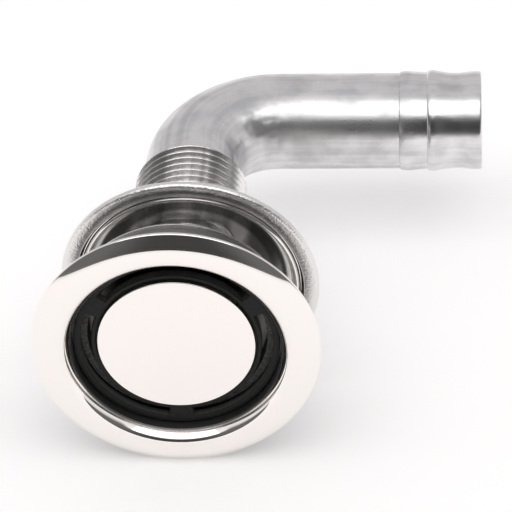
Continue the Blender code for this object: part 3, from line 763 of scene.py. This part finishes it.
def machined_thread():
    """Cut thread: a painted sheen of light and dark streaks along the stem."""
    finish, tree, shader = start_finish("thread_machined", THREAD_SHEEN_LIGHT, 1.0)
    source = place(tree, "ShaderNodeTexCoord").outputs["Object"]
    drawn_out = place(tree, "ShaderNodeMapping")
    drawn_out.inputs["Scale"].default_value = THREAD_STRETCH
    join(tree, source, drawn_out.inputs["Vector"])
    streaks = noise(tree, drawn_out.outputs["Vector"], THREAD_STREAKS, 5.0)
    # Light and dark streaks along the stem are a painted sheen; the roughness varies with them.
    sheen_share = ramp_between(tree, streaks, 0.30, 0.66)
    join(tree, mix_colours(tree, sheen_share, THREAD_SHEEN_DARK, THREAD_SHEEN_LIGHT), shader.inputs["Base Color"])
    join(tree, spread(tree, streaks, 0.32, 0.20), shader.inputs["Roughness"])
    add_bump(tree, shader, noise(tree, source, THREAD_GRAIN, 3.0), 2.0 * MICRON)
    return finish


thread_steel = machined_thread()
nut_steel = turned_steel("nut_machined", NUT_COLOUR, 0.18, 0.32, 1.5 * MICRON)
small_steel = turned_steel("small_fastener_steel", NUT_COLOUR, 0.24, 0.36, 1.5 * MICRON)
# The flame screen is painted dark, as shade inside the chamber.
screen_steel = turned_steel("screen_sheet", SCREEN_PAINTED_SHADE, 0.35, 0.55, 2.0 * MICRON)

# %% [markdown]
# Drawn tube has a satin skin with streaks that run along it, and the tail bends, so the
# streaks have to bend too. The distance from the bend's pivot does that: it stays the same
# along the first leg, round the bend and along the straight end. Noise on that distance and
# on the height is drawn out along the tube everywhere. The inside of the bend, where the wall
# was pressed together, has small folds, and the far end was rubbed brighter. The walls of the
# baffle's slots, which little light reaches, are painted paler than the black plastic, as
# painted light.

# %% Tube, plastic and rubber
TUBE_DARK = (0.58, 0.58, 0.59)
TUBE_LIGHT = (0.80, 0.79, 0.795)
TUBE_STREAKS, TUBE_CLOUDS, TUBE_GRAIN = 620.0, 190.0, 3400.0  # cells per metre
TUBE_STRETCH = 0.06
TUBE_MARK_DEPTH = 9.0 * MICRON
FOLDS, FOLD_DEPTH = 170.0, 750.0 * MICRON
RUBBED_SMOOTHER = -0.12
BAFFLE_COLOUR = (0.0125, 0.0125, 0.0119)
SLOT_WALL_PAINTED_LIGHT = (0.085, 0.085, 0.081)
SPACER_PAINTED_SHADE = (0.10, 0.10, 0.096)
SEAL_COLOUR = (0.012, 0.012, 0.012)
PLASTIC_SHEEN = 0.22
INNER_BEND = BEND_RADIUS - TUBE_RADIUS


def satin_tube():
    """Drawn tube: streaks that follow the bend, fine grain, folds inside the bend."""
    finish, tree, shader = start_finish("tube_satin", TUBE_LIGHT, 1.0)
    source = place(tree, "ShaderNodeTexCoord").outputs["Object"]
    parts = place(tree, "ShaderNodeSeparateXYZ")
    join(tree, source, parts.inputs[0])
    x, y = parts.outputs["X"], parts.outputs["Y"]
    short_of_end = calc(tree, "MINIMUM", calc(tree, "SUBTRACT", x, BEND_RADIUS), 0.0)
    past_leg = calc(tree, "SUBTRACT", y, TAIL_AXIS_Y - BEND_RADIUS)
    from_pivot = distance(tree, short_of_end, calc(tree, "MAXIMUM", past_leg, 0.0))
    drawn_out = place(tree, "ShaderNodeCombineXYZ")
    join(tree, from_pivot, drawn_out.inputs["X"])
    join(tree, parts.outputs["Z"], drawn_out.inputs["Y"])
    join(tree, calc(tree, "MULTIPLY", x, TUBE_STRETCH), drawn_out.inputs["Z"])
    streaks = noise(tree, drawn_out.outputs[0], TUBE_STREAKS, 4.0)
    clouds = noise(tree, source, TUBE_CLOUDS, 5.0)
    grain = noise(tree, source, TUBE_GRAIN, 3.0)
    patchy = blend(tree, streaks, clouds, 0.45)
    pale = ramp_between(tree, patchy, 0.36, 0.62)
    join(tree, mix_colours(tree, pale, TUBE_DARK, TUBE_LIGHT), shader.inputs["Base Color"])
    rubbed = calc(tree, "MULTIPLY", ramp_between(tree, x, 34.0 * MM, 46.0 * MM), RUBBED_SMOOTHER)
    satin = spread(tree, patchy, 0.40, 0.24)
    join(tree, calc(tree, "ADD", satin, rubbed), shader.inputs["Roughness"])
    add_bump(tree, shader, calc(tree, "ADD", streaks, grain), TUBE_MARK_DEPTH)
    inside = ramp_between(tree, from_pivot, INNER_BEND + 7.0 * MM, INNER_BEND + 2.0 * MM)
    round_bend = ramp_between(tree, x, 19.0 * MM, 14.0 * MM)
    add_grain(finish, source, calc(tree, "MULTIPLY", inside, round_bend), FOLDS, FOLD_DEPTH)
    return finish


def grained_black(name, colour, roughness, grain_scale, grain_depth):
    """Moulded black with a fine even grain and lighter specks."""
    finish, tree, shader = start_finish(name, colour, 0.0)
    shader.inputs["Specular IOR Level"].default_value = PLASTIC_SHEEN
    source = place(tree, "ShaderNodeTexCoord").outputs["Object"]
    grain = noise(tree, source, grain_scale, 4.0)
    join(tree, spread(tree, grain, roughness - 0.08, roughness + 0.12),
         shader.inputs["Roughness"])
    tone = place(tree, "ShaderNodeValToRGB")
    for stop, position, share in zip(tone.color_ramp.elements, (0.42, 0.66), (0.8, 2.0)):
        stop.position = position
        stop.color = (*(share * c for c in colour), 1.0)
    join(tree, grain, tone.inputs["Fac"])
    join(tree, tone.outputs["Color"], shader.inputs["Base Color"])
    add_bump(tree, shader, grain, grain_depth)
    return finish


tube_satin = satin_tube()
baffle_black = grained_black("baffle_black", BAFFLE_COLOUR, 0.50, 4200.0, 14.0 * MICRON)
# The slot walls and the faces behind the front are painted paler, as painted light.
reskin(baffle_black, radius_and_height(baffle_black)[2], BAFFLE_FRONT + 0.05 * MM,
       BAFFLE_FRONT + 0.4 * MM, SLOT_WALL_PAINTED_LIGHT, 0.60)
# The spacer lining the chamber is painted near black, as shade inside it.
spacer_black = grained_black("spacer_black", SPACER_PAINTED_SHADE, 0.55, 3000.0, 8.0 * MICRON)
seal_black = grained_black("seal_black", SEAL_COLOUR, 0.65, 5000.0, 6.0 * MICRON)

# %% [markdown]
# The refined pieces take their finishes directly. The small pieces that come from the packed
# model as they are keep their own slots, and only the material in each slot changes.

# %% Put the finishes on
for piece, finish in ((face_flange, polished), (centre_cap, cap_polish), (baffle, baffle_black),
                      (threaded_stem, thread_steel), (elbow_tail, tube_satin),
                      (backing_ring, ring_polish), (ring_seal, seal_black)):
    piece.data.materials.append(finish)
for node, finish in (("lock_nut", nut_steel), ("cap_nut", small_steel),
                     ("cap_washer", small_steel), ("flame_screen", screen_steel),
                     ("screen_spacer", spacer_black)):
    for material_slot in nodes[node].material_slots:
        material_slot.material = finish
print("finishes:", len(bpy.data.materials))

# %% [markdown]
# ## Floor, studio and camera
# The floor is a pale plane under the rim. It is lifted a little for the camera and for mirror
# images, so it shows white and still takes the object's shadow.

# %% Lay the floor
FLOOR_COLOUR = (0.93, 0.92, 0.915)
FLOOR_LIFT = 0.26
FLOOR_REACH = 4.0
FLOOR_Z = -FLANGE_RADIUS


def lay_floor():
    """Pale plane just under the flange, which shows white to the camera."""
    sheet = bmesh.new()
    bmesh.ops.create_grid(sheet, x_segments=2, y_segments=2, size=FLOOR_REACH,
                          matrix=Matrix.Translation((0.0, 0.0, FLOOR_Z)))
    mesh = bpy.data.meshes.new("floor")
    sheet.to_mesh(mesh)
    sheet.free()
    floor = bpy.data.objects.new("floor", mesh)
    bpy.context.scene.collection.objects.link(floor)
    finish, tree, shader = start_finish("floor_paper", FLOOR_COLOUR, 0.0)
    shader.inputs["Roughness"].default_value = 1.0
    shader.inputs["Specular IOR Level"].default_value = 0.0
    path = place(tree, "ShaderNodeLightPath")
    shader.inputs["Emission Color"].default_value = (1.0, 1.0, 1.0, 1.0)
    seen = calc(tree, "ADD", path.outputs["Is Camera Ray"], path.outputs["Is Glossy Ray"])
    join(tree, calc(tree, "MULTIPLY", seen, FLOOR_LIFT), shader.inputs["Emission Strength"])
    mesh.materials.append(finish)
    return floor


floor = lay_floor()
print("floor at z, mm:", round(FLOOR_Z / MM, 2))

# %% [markdown]
# Polished metal needs a studio with a light side and a dim side, or it looks like paper. The
# world is a plain white tent with a dim opening in front, low down, where the photographer
# stands. A wide soft lamp hangs above the front. The camera itself sees plain white.

# %% Build the studio
TENT = (0.92, 0.91, 0.91)
TENT_BACK = (0.65, 0.64, 0.645)
DIM_OPENING = (0.055, 0.055, 0.054)
OPENING_SIDE = (0.14, 0.14, 0.138)
OPENING_LOW = math.sin(math.radians(-3.0))
OPENING_TOP = math.sin(math.radians(46.0))
OPENING_SOFTNESS = 0.10
SOFTBOX_WIDTH, SOFTBOX_DEPTH = 1.7, 0.72
SOFTBOX_POWER = 4.1
SOFTBOX_SPOT = (0.0, -0.42, 1.10)
SOFTBOX_TARGET = (0.0, 0.03, 0.0)


def build_world():
    """White for the camera, a tent with a dim opening for everything else."""
    world = bpy.data.worlds.new("studio")
    world.use_nodes = True
    tree = world.node_tree
    tree.nodes.clear()
    direction = place(tree, "ShaderNodeTexCoord").outputs["Generated"]
    parts = place(tree, "ShaderNodeSeparateXYZ")
    join(tree, direction, parts.inputs[0])
    ahead = calc(tree, "MULTIPLY", parts.outputs["Y"], -1.0)
    tent = mix_colours(tree, ramp_between(tree, ahead, -0.3, 0.3), TENT_BACK, TENT)
    under_top = ramp_between(tree, parts.outputs["Z"], OPENING_TOP, OPENING_TOP - OPENING_SOFTNESS)
    over_low = ramp_between(tree, parts.outputs["Z"], OPENING_LOW - 0.03, OPENING_LOW)
    in_front = ramp_between(tree, ahead, 0.10, 0.35)
    opening = calc(tree, "MULTIPLY", calc(tree, "MULTIPLY", under_top, over_low), in_front)
    aside = ramp_between(tree, calc(tree, "ABSOLUTE", parts.outputs["X"], 0.0), 0.15, 0.60)
    studio = mix_colours(tree, opening, tent, mix_colours(tree, aside, DIM_OPENING, OPENING_SIDE))
    path = place(tree, "ShaderNodeLightPath")
    seen = mix_colours(tree, path.outputs["Is Camera Ray"], studio, (1.0, 1.0, 1.0))
    background = place(tree, "ShaderNodeBackground")
    join(tree, seen, background.inputs["Color"])
    output = place(tree, "ShaderNodeOutputWorld")
    join(tree, background.outputs[0], output.inputs["Surface"])
    bpy.context.scene.world = world


def hang_lamp(name, size_x, size_y, power, spot, target):
    """A soft rectangular lamp that looks at a point."""
    data = bpy.data.lights.new(name, "AREA")
    data.shape = "RECTANGLE"
    data.size = size_x
    data.size_y = size_y
    data.energy = power
    lamp = bpy.data.objects.new(name, data)
    bpy.context.scene.collection.objects.link(lamp)
    lamp.location = spot
    lamp.rotation_euler = (Vector(target) - Vector(spot)).to_track_quat("-Z", "Y").to_euler()
    return lamp


build_world()
softbox = hang_lamp("overhead_softbox", SOFTBOX_WIDTH, SOFTBOX_DEPTH, SOFTBOX_POWER,
                    SOFTBOX_SPOT, SOFTBOX_TARGET)
print("lamp:", softbox.name)

# %% [markdown]
# The camera stands where the photographer's did: the outlines of the lip, the cap, the ring,
# the stem and the tail in the photograph were fitted together, and that gives its place.

# %% Set up the camera
CAMERA_AZIMUTH = math.radians(4.54)
CAMERA_ELEVATION = math.radians(37.91)
CAMERA_ROLL = math.radians(-3.06)
CAMERA_DISTANCE = 0.6607
CAMERA_TARGET = Vector((0.01343, 0.01985, 0.0044))
CAMERA_LENS = 257.25


def set_camera():
    """Look at the target from the fitted direction, with the fitted roll."""
    back = Vector((math.sin(CAMERA_AZIMUTH) * math.cos(CAMERA_ELEVATION),
                   -math.cos(CAMERA_AZIMUTH) * math.cos(CAMERA_ELEVATION),
                   math.sin(CAMERA_ELEVATION)))
    level = Vector((math.cos(CAMERA_AZIMUTH), math.sin(CAMERA_AZIMUTH), 0.0))
    upright = back.cross(level)
    right = math.cos(CAMERA_ROLL) * level + math.sin(CAMERA_ROLL) * upright
    up = back.cross(right)
    data = bpy.data.cameras.new("camera")
    data.sensor_width = 36.0
    data.lens = CAMERA_LENS
    data.clip_start = 0.05
    data.clip_end = 30.0
    camera = bpy.data.objects.new("camera", data)
    bpy.context.scene.collection.objects.link(camera)
    turning = Matrix((right, up, back)).transposed().to_4x4()
    standpoint = CAMERA_TARGET + back * CAMERA_DISTANCE
    camera.matrix_world = Matrix.Translation(standpoint) @ turning
    bpy.context.scene.camera = camera
    return camera


camera = set_camera()
bpy.context.scene.view_settings.view_transform = "Standard"
print("camera lens, mm:", CAMERA_LENS)
